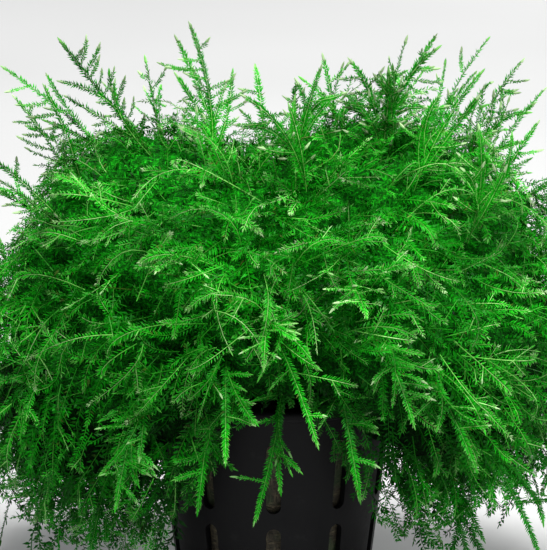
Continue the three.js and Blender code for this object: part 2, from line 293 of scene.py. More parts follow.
class Growth:
    """Leaves, stems and buds gathered for one piece: points, triangles and a mark on each point, which is
    youth, painted light (shade that the material multiplies into the colour), chance and whether it is stem."""

    def __init__(self):
        self.points, self.triangles, self.marks, self.count = [], [], [], 0

    def add(self, points, triangles, marks):
        self.points.append(points)
        self.triangles.append(triangles + self.count)
        self.marks.append(marks)
        self.count += len(points)

    def piece(self, name, material, slot, *nodes):
        """One mesh object of all that was gathered, riding on the root and standing for the nodes."""
        points, marks = np.concatenate(self.points), np.concatenate(self.marks)
        triangles = np.concatenate(self.triangles)
        obj = mesh_object(name, points, triangles)
        layer = obj.data.attributes.new("growth", "FLOAT_COLOR", "POINT")
        layer.data.foreach_set("color", marks.astype(np.float32).ravel())
        dress(obj, material, slot, *nodes)


def mesh_object(name, points, faces, smooth=False):
    """A mesh object of the points and of faces that all have the same number of corners."""
    mesh = bpy.data.meshes.new(name)
    mesh.vertices.add(len(points))
    mesh.vertices.foreach_set("co", points.astype(np.float32).ravel())
    mesh.loops.add(faces.size)
    mesh.loops.foreach_set("vertex_index", faces.astype(np.int32).ravel())
    mesh.polygons.add(len(faces))
    mesh.polygons.foreach_set("loop_start", np.arange(0, faces.size, faces.shape[1], dtype=np.int32))
    mesh.polygons.foreach_set("use_smooth", np.full(len(faces), smooth))
    mesh.update(calc_edges=True)
    mesh.validate()
    obj = bpy.data.objects.new(name, mesh)
    bpy.context.scene.collection.objects.link(obj)
    return obj


def dress(obj, material, slot, *nodes):
    """Gives a piece its material, and says what it rides on and stands for. The slot is not used."""
    obj.data.materials.clear()
    obj.data.materials.append(material)
    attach(obj, "root")
    if nodes:
        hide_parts(*nodes)


class Stems:
    """Leafy stems, one a row. path has each parabola's control points, and face the way its flat side looks.
    The traits are numbers for each stem: foot and tip, its youth there; frost, how much paler
    the tips of its leaves and of the stem are, partly young growth and partly a painted glint; light, the
    painted light on it, which darkens its colour as painted shade; leaf, the length of its leaves; lean,
    their angle off it in degrees; and loose, how far they stray from flat."""

    def __init__(self, path, face, **traits):
        amount = len(path)
        self.path, self.face = path, face
        self.traits = {name: np.broadcast_to(value, amount) for name, value in traits.items()}
        self.length = parabola_length(path)

    def __getattr__(self, name):
        return self.traits[name]

    def at(self, row, t):
        """Place, direction, sideways and outward direction, and youth, at t on the stems of those rows."""
        place, along = parabola(self.path[row], t)
        sideways = unit(np.cross(along, self.face[row]))
        outward = np.cross(sideways, along)
        youth = self.foot[row] + (self.tip[row] - self.foot[row]) * t
        return place, along, sideways, outward, youth

    def offshoots(self, row, path, face, **traits):
        """Stems along new paths, with the traits of the stems in those rows but for the ones given."""
        inherited = {name: value[row] for name, value in self.traits.items()}
        return Stems(path, face, **{**inherited, **traits})

    def chosen(self, mask):
        """The stems for which the mask is true."""
        return self.offshoots(mask, self.path[mask], self.face[mask])

    def changed(self, **traits):
        """The same stems with these traits instead."""
        return Stems(self.path, self.face, **{**self.traits, **traits})


def rows_and_shares(counts):
    """For stems with these many leaves each: the stem's row and the leaf's share of the way, from 0 to 1."""
    row = np.repeat(np.arange(len(counts)), counts)
    first = np.repeat(np.cumsum(counts) - counts, counts)
    return row, (np.arange(len(row)) - first + 0.5) / np.maximum(counts[row], 1)


def add_leaves(growth, stems, rng, coarse, crowding):
    """Two rows of keeled leaves, closer together towards the tip. Each is a tetrahedron from its foot on the
    stem past two shoulders at 0.36 of its length to its tip. It leans off the stem by the stem's own angle,
    and by 0.4 of that at the very tip. Leaves inside the heart are left out."""
    counts = np.maximum(2, np.round(0.9 * stems.length / (LEAF_SPACING * coarse) * crowding)).astype(int)
    for side in (-1, 1):
        row, share = rows_and_shares(counts)
        share = np.clip(share + side * 0.25 / counts[row], 0, 1) ** 0.75
        kept = ~in_heart(stems.at(row, share)[0])
        row, share = row[kept], share[kept]
        place, along, sideways, outward, youth = stems.at(row, share)
        amount = len(row)
        lean = np.radians(stems.lean[row] * (1 - 0.6 * share ** 12) + rng.normal(0, 7, amount))[:, None]
        lift = (0.05 + stems.loose[row] * rng.normal(0, 1, amount))[:, None]
        heading = unit(along * np.cos(lean) + side * sideways * np.sin(lean) + outward * lift)
        fullness = np.minimum(1, 0.7 + 1.5 * share) * (1 - 0.4 * share ** 9)
        length = (stems.leaf[row] * fullness * rng.uniform(0.75, 1.15, amount))[:, None]
        width = (LEAF_WIDTH * coarse * rng.uniform(0.8, 1.2, amount))[:, None]
        crosswise = unit(np.cross(heading, outward))
        place = place + (side * sideways * 0.5 - outward * 0.7) * STEM_RADIUS
        tip = place + heading * length + (along * 0.14 - outward * 0.05) * length
        shoulder = place + heading * length * 0.36 + outward * LEAF_KEEL * coarse
        corners = np.stack((place, shoulder + crosswise * width / 2,
                            shoulder - crosswise * width / 2, tip), 1)
        first = 4 * np.arange(amount)[:, None, None]
        triangles = np.array(((0, 1, 2), (3, 2, 1), (0, 3, 1), (0, 2, 3))) + first
        leaf_youth = np.clip(youth + 0.32 * share ** 12 + rng.normal(0, 0.04, amount), 0, 1)
        marks = np.zeros((amount, 4, 4))
        marks[:, :, 0] = leaf_youth[:, None]
        # Each leaf's tip is paler by the stem's paleness trait: partly young growth, partly a painted glint.
        marks[:, 3, 0] = np.clip(leaf_youth + stems.frost[row], 0, 1)
        marks[:, :, 1] = stems.light[row][:, None]
        marks[:, :, 2] = rng.uniform(0, 1, amount)[:, None]
        growth.add(corners.reshape(-1, 3), triangles.reshape(-1, 3), marks.reshape(-1, 4))


def add_tubes(growth, stems, rng, coarse):
    """A three-sided tube down each stem, a ring every few millimetres, narrowed to half at the tip and
    closed by a triangle at either end."""
    counts = np.maximum(2, np.round(stems.length / (STEM_RING_SPACING * coarse)).astype(int) + 1)
    first = np.cumsum(counts) - counts
    row = np.repeat(np.arange(len(counts)), counts)
    share = (np.arange(len(row)) - first[row]) / (counts[row] - 1)
    place, _, sideways, outward, youth = stems.at(row, share)
    radius = (STEM_RADIUS * math.sqrt(coarse) * (1 - 0.5 * share))[:, None]
    turns = np.radians((330, 210, 90))
    ring = [place + radius * (np.cos(turn) * sideways + np.sin(turn) * outward) for turn in turns]
    points = np.stack(ring, 1).reshape(-1, 3)
    start = 3 * np.flatnonzero(share < 1 - 1e-9)
    bands = []
    for k in range(3):
        a, b = start + k, start + (k + 1) % 3
        bands += [np.stack((a, b, a + 3), 1), np.stack((b, b + 3, a + 3), 1)]
    feet, ends = 3 * first, 3 * (first + counts - 1)
    bands += [np.stack((feet + 2, feet + 1, feet), 1), np.stack((ends, ends + 1, ends + 2), 1)]
    marks = np.zeros((len(row), 3, 4))
    # The stem pales towards its tip by the same trait: partly young growth, partly a painted glint along it.
    pale = stems.frost[row] * (0.35 + 0.9 * share ** 1.5)
    marks[:, :, 0] = np.clip(youth - 0.15 + pale, 0, 1)[:, None]
    marks[:, :, 1] = stems.light[row][:, None]
    marks[:, :, 2] = rng.uniform(0, 1, len(counts))[row][:, None]
    marks[:, :, 3] = 1
    growth.add(points, np.concatenate(bands), marks.reshape(-1, 4))


def add_buds(growth, stems, rng, swelling, corners=3):
    """A pale swollen bud on each tip: a body with that many sides, a ring near its foot and a narrower one
    past its middle, closed to a point at both ends."""
    amount = len(stems.path)
    place, along, sideways, outward, youth = stems.at(np.arange(amount), np.ones(amount))
    size = rng.uniform(0.7, 1.2, amount)[:, None]
    length = BUD_LENGTH * math.sqrt(swelling) * size
    rings = []
    for share, girth in ((0.05, 1.0), (0.5, 0.75)):
        waist = place + along * length * share
        for turn in np.radians(90 - 360 / corners * np.arange(corners)):
            rings.append(waist + BUD_RADIUS * girth * swelling * size
                         * (math.cos(turn) * sideways + math.sin(turn) * outward))
    foot = place - along * length * 0.25
    tip = place + along * length * 0.8
    points = np.stack((foot, *rings, tip), 1)
    last = 2 * corners + 1
    bands = []
    for k in range(corners):
        a, b = 1 + k, 1 + (k + 1) % corners
        bands += [(0, b, a), (a, b, a + corners), (b, b + corners, a + corners),
                  (last, a + corners, b + corners)]
    triangles = np.array(bands) + (last + 1) * np.arange(amount)[:, None, None]
    marks = np.zeros((amount, last + 1, 4))
    pale = rng.uniform(0.2, 0.45, amount) * swelling
    marks[:, :, 0] = np.clip(youth + pale, 0, 1)[:, None]
    marks[:, :, 1] = stems.light[:, None]
    marks[:, :, 2] = rng.uniform(0, 0.9, amount)[:, None]
    growth.add(points.reshape(-1, 3), triangles.reshape(-1, 3), marks.reshape(-1, 4))


def branchlets_of(stems, rng, spacing, reach, lean, leaf_share, stretch=(0.06, 0.94)):
    """Side branchlets of each stem over that stretch of it, on a side by chance: they lean about that many
    degrees off it, bend forward, and are longest at a third of its length."""
    first, span = stretch[0], stretch[1] - stretch[0]
    counts = np.floor(stems.length * span / spacing + rng.uniform(0, 1, len(stems.length))).astype(int)
    row, share = rows_and_shares(counts)
    amount = len(row)
    share = np.clip(first + span * (share + rng.uniform(-0.3, 0.3, amount) / counts[row]), 0.03, 0.95)
    side = np.where(rng.uniform(0, 1, amount) < 0.5, 1, -1)[:, None]
    place, along, sideways, outward, youth = stems.at(row, share)
    angle = np.radians(rng.normal(lean, 10, amount))[:, None]
    tilt = rng.normal(0.1, 0.28, amount)[:, None]
    heading = unit(along * np.cos(angle) + side * sideways * np.sin(angle) + outward * tilt)
    hump = np.sin(np.pi * np.clip(share * 0.85 + 0.15, 0, 1)) ** 0.7
    length = (reach * (0.35 + 0.65 * hump) * rng.uniform(0.5, 1.15, amount))[:, None]
    bent = unit(heading + rng.uniform(0.1, 0.7, (amount, 1)) * along)
    path = np.stack((place, place + heading * length * 0.5,
                     place + heading * length * 0.5 + bent * length * 0.5), 1)
    face = unit(stems.face[row] + rng.normal(0, 0.35, (amount, 3)))
    leaf = stems.leaf[row] * leaf_share * rng.uniform(0.85, 1.15, amount)
    return stems.offshoots(row, path, face, foot=youth, tip=np.minimum(youth + 0.2, 0.8), leaf=leaf)


def fill_stems(growth, stems, rng, coarse=1.0, swelling=0.55, crowding=1.0, corners=3, inner=0):
    """Leaves, tube and bud for each stem, and where it is asked for a row of short inner leaves, which lie
    close along the stem and cover it."""
    add_leaves(growth, stems, rng, coarse, crowding)
    if inner:
        close = stems.changed(leaf=0.55 * stems.leaf, lean=36, loose=0.8, frost=0, tip=0.85 * stems.tip)
        add_leaves(growth, close, rng, coarse, inner)
    add_tubes(growth, stems, rng, coarse)
    add_buds(growth, stems, rng, swelling, corners)


def swirl(places, seed):
    """A slow wave over space from -1 to 1, about 30 mm from crest to crest: three crossed sines."""
    x, y, z = (places / SWIRL_LENGTH * 2 * np.pi).T
    return (np.sin(x + 0.4 * z + 1.3 * seed) * np.sin(0.9 * z - 0.3 * y + 2.1 * seed)
            + np.sin(0.7 * y + 0.5 * x + 0.7 * seed) + 0.6 * np.sin(1.6 * z + x - 1.1 * seed)) / 2.6


def seeded_directions(amount, rng):
    """About that many directions from the middle of the moss, spread evenly over the cushion's surface by
    the golden angle and thinned by the square of its radius."""
    tries = int(amount * 2.2)
    height = 1 - 2 * (np.arange(tries) + 0.5) / tries
    turn = 2 * np.pi * GOLDEN_SHARE * np.arange(tries)
    level = np.sqrt(1 - height ** 2)
    directions = unit(np.stack((level * np.cos(turn), level * np.sin(turn), height), 1)
                      + rng.normal(0, 0.03, (tries, 3)))
    area = cushion_radius(directions) ** 2
    kept = rng.uniform(0, 1, tries) < area / area.max() * 0.9
    return directions[kept]


def tip_heights(direction, on_crown, tip_height, rng):
    """How far each tip stands off the cushion's surface, drawn from the range: more on the crown, less in
    its saddle and on the shoulders, least on the left one, and further out at the sides."""
    aside = np.abs(direction[:, 0])
    height = rng.uniform(*tip_height, len(direction))
    on_side = np.clip((aside - 0.75) / 0.2, 0, 1)
    in_saddle = np.exp(-((direction[:, 0] - SADDLE_PLACE) / SADDLE_WIDTH) ** 2) * on_crown
    on_shoulder = np.clip((aside - 0.6) / 0.2, 0, 1) * np.clip(direction[:, 2] / 0.2, 0, 1)
    taller = 1 + 0.3 * on_crown - 0.9 * in_saddle - 0.7 * on_shoulder
    on_left_shoulder = np.clip((-0.4 - direction[:, 0]) / 0.2, 0, 1) * np.clip(direction[:, 2] / 0.3, 0, 1)
    height = np.where(height > 0, height * taller, height) + on_side * (1 - on_shoulder) * SIDE_REACH
    return height - on_left_shoulder * LEFT_SHOULDER_DROP


def tips_that_stay(tip, arch_share, rng):
    """Which tips are kept: none in the pot, that share of those in the arch, and most of those behind."""
    over_pot = np.hypot(tip[:, 0], tip[:, 1]) < LIP_RADIUS + LIP_MARGIN
    over_pot &= tip[:, 2] < POT_HEIGHT + MOUTH_MARGIN
    in_arch = (tip[:, 1] < 0) & (np.abs(tip[:, 0] - ARCH_CENTRE) < ARCH_HALF_WIDTH) & (tip[:, 2] < ARCH_TOP)
    behind = tip[:, 1] > BEHIND_FROM
    kept = ~over_pot & ~(in_arch & (rng.uniform(0, 1, len(tip)) > arch_share))
    return kept & ~(behind & (rng.uniform(0, 1, len(tip)) > BEHIND_SHARE))


def headings_at(tip, normal, on_crown, stray, rng):
    """The direction of each stem at its tip. The flow leads away from the upper middle of whichever side it
    is on, with some stray, turned by the swirl. A stem rises off it, steeper on the crown, and the low ones
    hang."""
    amount = len(tip)
    source = np.stack((0 * tip[:, 0], 0.6 * tip[:, 1], np.full(amount, FLOW_SOURCE)), 1)
    flow = tip - source
    flow -= (flow * normal).sum(1, keepdims=True) * normal
    astray = rng.normal(0, 1, (amount, 3))
    astray -= (astray * normal).sum(1, keepdims=True) * normal
    turn = (0.75 * swirl(tip, 1))[:, None]
    flow = unit(flow / FLOW_REACH + stray * astray)
    flow = np.cos(turn) * flow + np.sin(turn) * np.cross(normal, flow)
    tilt = np.radians(rng.uniform(12, 42, amount) + 32 * on_crown)[:, None]
    heading = unit(np.cos(tilt) * flow + np.sin(tilt) * normal)
    hang = rng.uniform(0.5, 1.4, amount) * np.clip((HANG_BELOW - tip[:, 2]) / HANG_FADE, 0, 1)
    return unit(heading - hang[:, None] * np.array((0, 0, 1)))


def paths_back(tip, heading, normal, length, curl, rng):
    """Parabolas that run back from each tip, bowed outwards and up with some curl, and clear of the pot."""
    root = tip - heading * length
    bow = normal * length * rng.uniform(0.02, 0.4, len(tip))[:, None]
    bow[:, 2] += length[:, 0] * rng.uniform(0, 0.12, len(tip))
    bow += rng.normal(0, curl, (len(tip), 3)) * length
    path = np.stack((root, (root + tip) / 2 + bow, tip), 1)
    return clear_of_pot(path.reshape(-1, 3), STEM_MARGIN).reshape(-1, 3, 3)


def light_on(tip, raised, light, hollow, rng):
    """The painted light on each stem, which the leaf material multiplies into its colour as painted shade:
    from the first value to the second as its tip is raised, less low down, in slow patches, and less by the
    hollow's share in the hollow over the arch."""
    # Painted shade: darker low down and in the hollow over the arch, and varied in slow patches.
    low = np.clip((tip[:, 2] - SHADED_BELOW) / SHADE_FADE, 0, 1)
    shade = (light[0] + (light[1] - light[0]) * raised) * rng.uniform(0.85, 1.1, len(tip))
    shade *= (0.6 + 0.44 * low) * (0.9 + 0.28 * swirl(tip, 4))
    in_hollow = np.exp(-((tip[:, 0] - HOLLOW_PLACE) / HOLLOW_WIDTH) ** 2) * (tip[:, 1] < 0)
    return shade * (1 - hollow * in_hollow * np.clip((HOLLOW_TOP - tip[:, 2]) / HOLLOW_FADE, 0, 1))


def frond_stems(rng, amount, tip_height, length_range, light, leaf, stray, youth, frost, curl,
                hollow, zone=(-1.0, 1.0), drop=(0, 0), arch_share=ARCH_SHARE):
    """Stems that lie in the cushion's skin. A tip stands at its height off the cushion's surface, and the
    stem runs back from it along the flow and down into the tangle. The zone keeps only directions that rise
    that much, and the drop lets tips down below the surface."""
    direction = seeded_directions(amount, rng)
    direction = direction[(direction[:, 2] > zone[0]) & (direction[:, 2] < zone[1])]
    on_crown = np.clip((direction[:, 2] - 0.35) / 0.4, 0, 1)
    height = tip_heights(direction, on_crown, tip_height, rng)
    tip = MIDDLE + direction * (cushion_radius(direction) + height)[:, None]
    tip[:, 2] = np.maximum(tip[:, 2] - rng.uniform(*drop, len(tip)), LOWEST_TIP)
    kept = tips_that_stay(tip, arch_share, rng)
    direction, tip, height, on_crown = (v[kept] for v in (direction, tip, height, on_crown))
    amount, normal = len(tip), cushion_normal(direction)
    heading = headings_at(tip, normal, on_crown, stray, rng)
    length = (rng.uniform(*length_range, amount) * (1 + 0.1 * on_crown))[:, None]
    path = paths_back(tip, heading, normal, length, curl, rng)
    face = unit(normal + rng.normal(0, 0.4, (amount, 3)))
    raised = np.clip((height - tip_height[0]) / (tip_height[1] - tip_height[0]), 0, 1)
    shade = light_on(tip, raised, light, hollow, rng)
    return Stems(path, face, foot=youth[0] + rng.uniform(0, 0.2, amount),
                 tip=youth[1] + rng.uniform(0, 0.2, amount),
                 frost=frost[0] + (frost[1] - frost[0]) * rng.uniform(0, 1, amount) ** 2,
                 light=shade, leaf=rng.uniform(*leaf, amount), lean=rng.uniform(52, 68, amount), loose=0.6)


def sector_of(stems):
    """Which piece a stem belongs to: the crown is piece 0, and the six sides go round from +X."""
    tip = stems.path[:, 2]
    turn = np.degrees(np.arctan2(tip[:, 1], tip[:, 0])) % 360
    side = 1 + (turn // 60).astype(int)
    return np.where(tip[:, 2] > CROWN_PIECE_ABOVE, 0, side)


TANGLES = ("crown_tangle", "back_right_tangle", "back_tangle", "back_left_tangle", "front_left_tangle",
           "front_tangle", "front_right_tangle")

# Each layer: how many stems are tried, how coarse their leaves are, the spacing and reach of their
# branchlets, and what frond_stems makes them from. The order is coarse short stems underneath, a backing
# low down whose darkness is painted shade, moss that hangs in front of it, short green combs, and longer
# shoots with pale tips, that paleness partly a painted glint. Each layer's light and hollow values set its
# painted shade.
LAYERS = (
    (900, 1.7, 13 * MM, 7 * MM,
     dict(tip_height=(-8 * MM, -2 * MM), length_range=(10 * MM, 19 * MM), light=(0.6, 0.85),
          leaf=(1.6 * MM, 2.2 * MM), stray=0.5, youth=(0.05, 0.45), frost=(0, 0.3), curl=0.17,
          hollow=0.8)),
    # The backing low down: its low light is painted shade.
    (540, 2.4, 60 * MM, 8 * MM,
     dict(tip_height=(-24 * MM, -8 * MM), length_range=(15 * MM, 26 * MM), light=(0.15, 0.4),
          leaf=(2.0 * MM, 2.8 * MM), stray=0.5, youth=(0.05, 0.3), frost=(0, 0), curl=0.2,
          hollow=0.9, zone=(-0.85, -0.3), drop=(3 * MM, 15 * MM), arch_share=0)),
    (750, 1.8, 25 * MM, 8 * MM,
     dict(tip_height=(-10 * MM, 0 * MM), length_range=(15 * MM, 26 * MM), light=(0.4, 0.75),
          leaf=(1.4 * MM, 1.9 * MM), stray=0.5, youth=(0.05, 0.45), frost=(0, 0.3), curl=0.2,
          hollow=0.8, zone=(-0.72, -0.25), drop=(2 * MM, 16 * MM), arch_share=0)),
    (1500, 1.0, 24 * MM, 5 * MM,
     dict(tip_height=(-3 * MM, 4 * MM), length_range=(7 * MM, 16 * MM), light=(0.7, 1.05),
          leaf=(1.1 * MM, 1.5 * MM), stray=0.5, youth=(0.15, 0.5), frost=(0, 0.6), curl=0.2,
          hollow=0.45)),
    (380, 1.0, 20 * MM, 5 * MM,
     dict(tip_height=(0 * MM, 6 * MM), length_range=(12 * MM, 20 * MM), light=(0.95, 1.1),
          leaf=(1.1 * MM, 1.4 * MM), stray=0.4, youth=(0.35, 0.65), frost=(0.3, 0.6), curl=0.22,
          hollow=0.2)),
)


def make_tangles(material):
    """The cushion's stems in seven pieces, one layer after another, each stem with its branchlets."""
    rng = np.random.default_rng(TANGLE_SEED)
    growths = [Growth() for _ in TANGLES]
    for amount, coarse, spacing, reach, traits in LAYERS:
        stems = frond_stems(rng, amount, **traits)
        sector = sector_of(stems)
        for index, growth in enumerate(growths):
            part = stems.chosen(sector == index)
            fill_stems(growth, part, rng, coarse)
            fill_stems(growth, branchlets_of(part, rng, spacing, reach, 58, 0.85), rng, coarse)
    for name, growth in zip(TANGLES, growths):
        growth.piece(name, material, "moss_tangle", "moss_cushion")


def shoot_path(root, tip, bow):
    """The parabola of a shoot: its middle control point is the middle of the chord plus twice the bow."""
    root, tip, bow = (np.array(v, float) * MM for v in (root, tip, bow))
    return np.stack((root, (root + tip) / 2 + 2 * bow, tip))


def shoot_face(path):
    """Where a shoot's flat side looks: out and a little up behind the pot, mostly forward elsewhere, and
    made square to the shoot."""
    middle, along = (v[0] for v in parabola(path[None], np.array([0.5])))
    x, y = middle[0] / MM, middle[1] / MM
    out = np.array((x, y, 10)) if y > 20 else np.array((x * 0.25, y - 8, 0))
    out = unit(out)
    out = out - out.dot(along) * along
    return unit(out) if np.linalg.norm(out) > 0.3 else np.array((0.0, 0.0, 1.0))


def back_shoot_paths():
    """Shoots behind and beside the pot, where the golden ratio spreads them evenly."""
    paths = []
    for i in range(BACK_SHOOT_COUNT):
        share = (0.35 + i * GOLDEN_SHARE) % 1
        turn = math.radians(BACK_SECTOR[0] + (BACK_SECTOR[1] - BACK_SECTOR[0]) * share)
        rise = math.radians(BACK_RISE[0] + (BACK_RISE[1] - BACK_RISE[0]) * (i + 0.5) / BACK_SHOOT_COUNT)
        direction = np.array((math.cos(turn) * math.cos(rise), math.sin(turn) * math.cos(rise),
                              math.sin(rise)))
        surface = cushion_radius(direction[None])[0]
        reach = BACK_REACH[0] + (BACK_REACH[1] - BACK_REACH[0]) * vary(i, 5)
        root = MIDDLE + direction * surface * BACK_ROOT
        tip = MIDDLE + direction * (surface + reach)
        if rise < 0:
            tip[2] -= BACK_DROOP
        bow = np.array((2 * vary(i, 6) - 1, 2 * vary(i, 7) - 1, 3 if rise < 0 else 1.5)) * MM
        paths.append(np.stack((root, (root + tip) / 2 + 2 * bow, tip)))
    return paths


def companions_of(stem, amount, rng):
    """Shorter shoots that rise from the lower part of a shoot, close beside it, and part from it by up to
    the reach of its twigs."""
    zero = np.zeros(amount, int)
    side = np.where(np.arange(amount) % 2, 1, -1)[:, None]
    root, along, _, _, youth = stem.at(zero, rng.uniform(0.0, 0.3, amount))
    mark, _, sideways, outward, _ = stem.at(zero, rng.uniform(0.4, 0.86, amount))
    tip = mark + side * sideways * rng.uniform(2.5, 6.5, (amount, 1)) * MM
    tip = tip + outward * rng.normal(0, 2, (amount, 1)) * MM
    length = np.linalg.norm(tip - root, axis=1)[:, None]
    middle = root + along * length * rng.uniform(0.45, 0.7, (amount, 1))
    middle = middle + rng.normal(0, 0.15, (amount, 3)) * length
    face = unit(stem.face[zero] + rng.normal(0, 0.5, (amount, 3)))
    return stem.offshoots(zero, np.stack((root, middle, tip), 1), face, foot=youth,
                          leaf=stem.leaf[zero] * rng.uniform(0.8, 1.05, amount))


def shoot_families():
    """Each family's name, its paths, the painted light on it, its shoots' youth at the foot and at the tip,
    how many companions they have, and how swollen their buds are."""
    return (("upright_shoot", [shoot_path(*s) for s in UPRIGHT_SHOOTS], 1.1, (0.44, 0.6), 4, 1.2),
            ("spreading_shoot", [shoot_path(*s) for s in SPREADING_SHOOTS], 1.0, (0.35, 0.6), 2, 1.0),
            ("hanging_shoot", [shoot_path(*s) for s in HANGING_SHOOTS], 0.9, (0.3, 0.58), 3, 0.9),
            ("back_shoot", back_shoot_paths(), 1.0, (0.4, 0.62), 2, 1.2))


def make_shoots(material):
    """Every named shoot as a piece of its own, in place of its solid. The branched ones have side branchlets
    over most of their length, and the rest are nearly bare of them."""
    index = 0
    for family, paths, light, youth, company, swelling in shoot_families():
        for number, path in enumerate(paths, 1):
            rng = np.random.default_rng(SHOOT_SEED + index)
            leaf = rng.uniform(1.1, 1.35) * MM
            branched = number in BRANCHED if family == "upright_shoot" else rng.uniform() < 0.1
            # Painted shade: a shoot whose tip hangs lower is darker.
            shade = light * min(1, 0.35 + 0.65 * max(0, path[2, 2] - 15 * MM) / (35 * MM))
            stem = Stems(path[None], shoot_face(path)[None], foot=youth[0], tip=youth[1], frost=0.35,
                         light=shade, leaf=leaf, lean=64, loose=0.45)
            twigs = branchlets_of(stem, rng, (2.1 if branched else 9) * MM, 8 * MM, 74, 0.7, (0.15, 0.88))
            lone = family == "upright_shoot" and number in LONE
            beside = companions_of(stem, LONE_COMPANIONS if lone else company, rng)
            growth = Growth()
            for stems in (stem, twigs, beside, branchlets_of(beside, rng, 12 * MM, 4.5 * MM, 66, 0.6)):
                fill_stems(growth, stems, rng, 1.0, swelling, 1.15, corners=5, inner=1.7)
            cad_node = f"{family}_{number:02d}"
            growth.piece(f"leafy_{cad_node}", material, "moss_shoot", cad_node)
            index += 1


def ball_grid(rows, columns):
    """Directions on a grid of rows from pole to pole and columns round the upright axis, and the triangles
    that join them: two to each cell between rows, and a fan to a single point at either pole."""
    polar = np.pi * np.arange(1, rows) / rows
    turn = 2 * np.pi * np.arange(columns) / columns
    polar, turn = (v.ravel() for v in np.meshgrid(polar, turn, indexing="ij"))
    body = np.stack((np.sin(polar) * np.cos(turn), np.sin(polar) * np.sin(turn), np.cos(polar)), 1)
    directions = np.concatenate((body, ((0, 0, 1), (0, 0, -1))))
    index = np.arange((rows - 1) * columns).reshape(rows - 1, columns)
    after = np.roll(index, -1, axis=1)
    a, b, c, d = index[:-1], index[1:], after[1:], after[:-1]
    sides = np.stack((a, b, c, a, c, d), -1).reshape(-1, 3)
    top, bottom = len(body), len(body) + 1
    cap = np.stack((np.full(columns, top), index[0], after[0]), 1)
    base = np.stack((np.full(columns, bottom), after[-1], index[-1]), 1)
    return directions, np.concatenate((sides, cap, base))


def make_heart(material):
    """The inside of the tangle, dark partly as old moss and partly as painted shade: the cushion's form
    drawn in by its depth, roughened by crossed sine waves, and held off the pot's mouth and lip."""
    directions, triangles = ball_grid(HEART_ROWS, HEART_COLUMNS)
    x, y, z = directions.T
    rough = np.zeros(len(directions))
    for k, (size, height) in enumerate(HEART_WAVES):
        across = np.sin(size * x + 3 * k + 2 * np.sin(0.5 * size * z)) * np.sin(size * y + k)
        rough += height * (across + np.sin(size * z + 1.7 * k) * np.sin(0.8 * size * x))
    radius = cushion_radius(directions) - heart_depth(directions) + rough
    level = np.hypot(x, y)
    down = np.maximum(-z, 1e-6)
    mouth = (MIDDLE[2] - POT_HEIGHT - HEART_OFF_MOUTH) / down
    lip_slope = (MIDDLE[2] - POT_HEIGHT) / (LIP_RADIUS + LIP_MARGIN)
    past_lip = np.clip((level / down * lip_slope - 1) / 0.12, 0, 1)
    held = mouth + (radius - mouth) * past_lip
    radius = np.where((z < 0) & (held < radius), held, radius)
    points = MIDDLE + directions * radius[:, None]
    obj = mesh_object("moss_heart", points, triangles, smooth=True)
    dress(obj, material, "moss_tangle", "moss_cushion")


def lathe(profile, columns):
    """A closed surface of revolution about Z from a profile of (radius, height) that starts and ends on
    the axis, each point turned through equal steps, with a fan at either end."""
    profile = np.array(profile)
    inner = profile[1:-1]
    turn = 2 * np.pi * np.arange(columns) / columns
    ring = np.stack((np.cos(turn), np.sin(turn)), 1)
    level = inner[:, None, :1] * ring[None]
    height = np.broadcast_to(inner[:, None, 1:], (*level.shape[:2], 1))
    points = np.concatenate((level, height), 2).reshape(-1, 3)
    index = np.arange(len(points)).reshape(len(inner), columns)
    after = np.roll(index, -1, axis=1)
    a, b, c, d = index[:-1], index[1:], after[1:], after[:-1]
    sides = np.stack((a, d, c, a, c, b), -1).reshape(-1, 3)
    points = np.concatenate((points, ((0, 0, profile[0, 1]), (0, 0, profile[-1, 1]))))
    start, end = len(points) - 2, len(points) - 1
    first = np.stack((np.full(columns, start), after[0], index[0]), 1)
    last = np.stack((np.full(columns, end), index[-1], after[-1]), 1)
    return points, np.concatenate((sides, first, last))


def rounded(corner_before, corner, corner_after, radius, steps=4):
    """Points of a quarter-like arc that rounds a profile's corner: a parabola between the places at that
    distance along either side."""
    before, at, after = (np.array(v, float) for v in (corner_before, corner, corner_after))
    a = at + (before - at) / np.linalg.norm(before - at) * radius
    b = at + (after - at) / np.linalg.norm(after - at) * radius
    t = np.linspace(0, 1, steps + 1)[:, None]
    return [tuple(p) for p in (1 - t) ** 2 * a + 2 * t * (1 - t) * at + t ** 2 * b]


def stadium_cutter(low, high, width, depth, steps=8):
    """A closed bar with half-round ends, low to high in Z and width across Y, as deep as depth in X: the
    outline of two half circles joined by straight sides, swept along X and capped."""
    half = width / 2
    turn = np.linspace(0, np.pi, steps + 1)
    upper = np.stack((half * np.cos(turn), high - half + half * np.sin(turn)), 1)
    lower = np.stack((-half * np.cos(turn), low + half - half * np.sin(turn)), 1)
    outline = np.concatenate((upper, lower))
    return swept(outline, depth)


def swept(outline, depth):
    """A flat closed outline in the YZ plane, run from -depth/2 to depth/2 in X, with a fan on both ends."""
    amount = len(outline)
    middle = outline.mean(0)
    near = np.column_stack((np.full(amount, -depth / 2), outline))
    far = np.column_stack((np.full(amount, depth / 2), outline))
    points = np.concatenate((near, far, ((-depth / 2, *middle), (depth / 2, *middle))))
    i = np.arange(amount)
    j = (i + 1) % amount
    sides = np.concatenate((np.stack((i, j + amount, i + amount), 1), np.stack((i, j, j + amount), 1)))
    caps = np.concatenate((np.stack((np.full(amount, 2 * amount), j, i), 1),
                           np.stack((np.full(amount, 2 * amount + 1), i + amount, j + amount), 1)))
    return points, np.concatenate((sides, caps))


def turned(points, angle):
    """Points turned about Z by the angle."""
    c, s = math.cos(angle), math.sin(angle)
    return points @ np.array(((c, s, 0), (-s, c, 0), (0, 0, 1)))


def joined(parts):
    """Several (points, faces) as one mesh's points and faces."""
    starts = np.cumsum([0] + [len(points) for points, _ in parts])
    faces = [faces + start for (_, faces), start in zip(parts, starts)]
    return np.concatenate([points for points, _ in parts]), np.concatenate(faces)


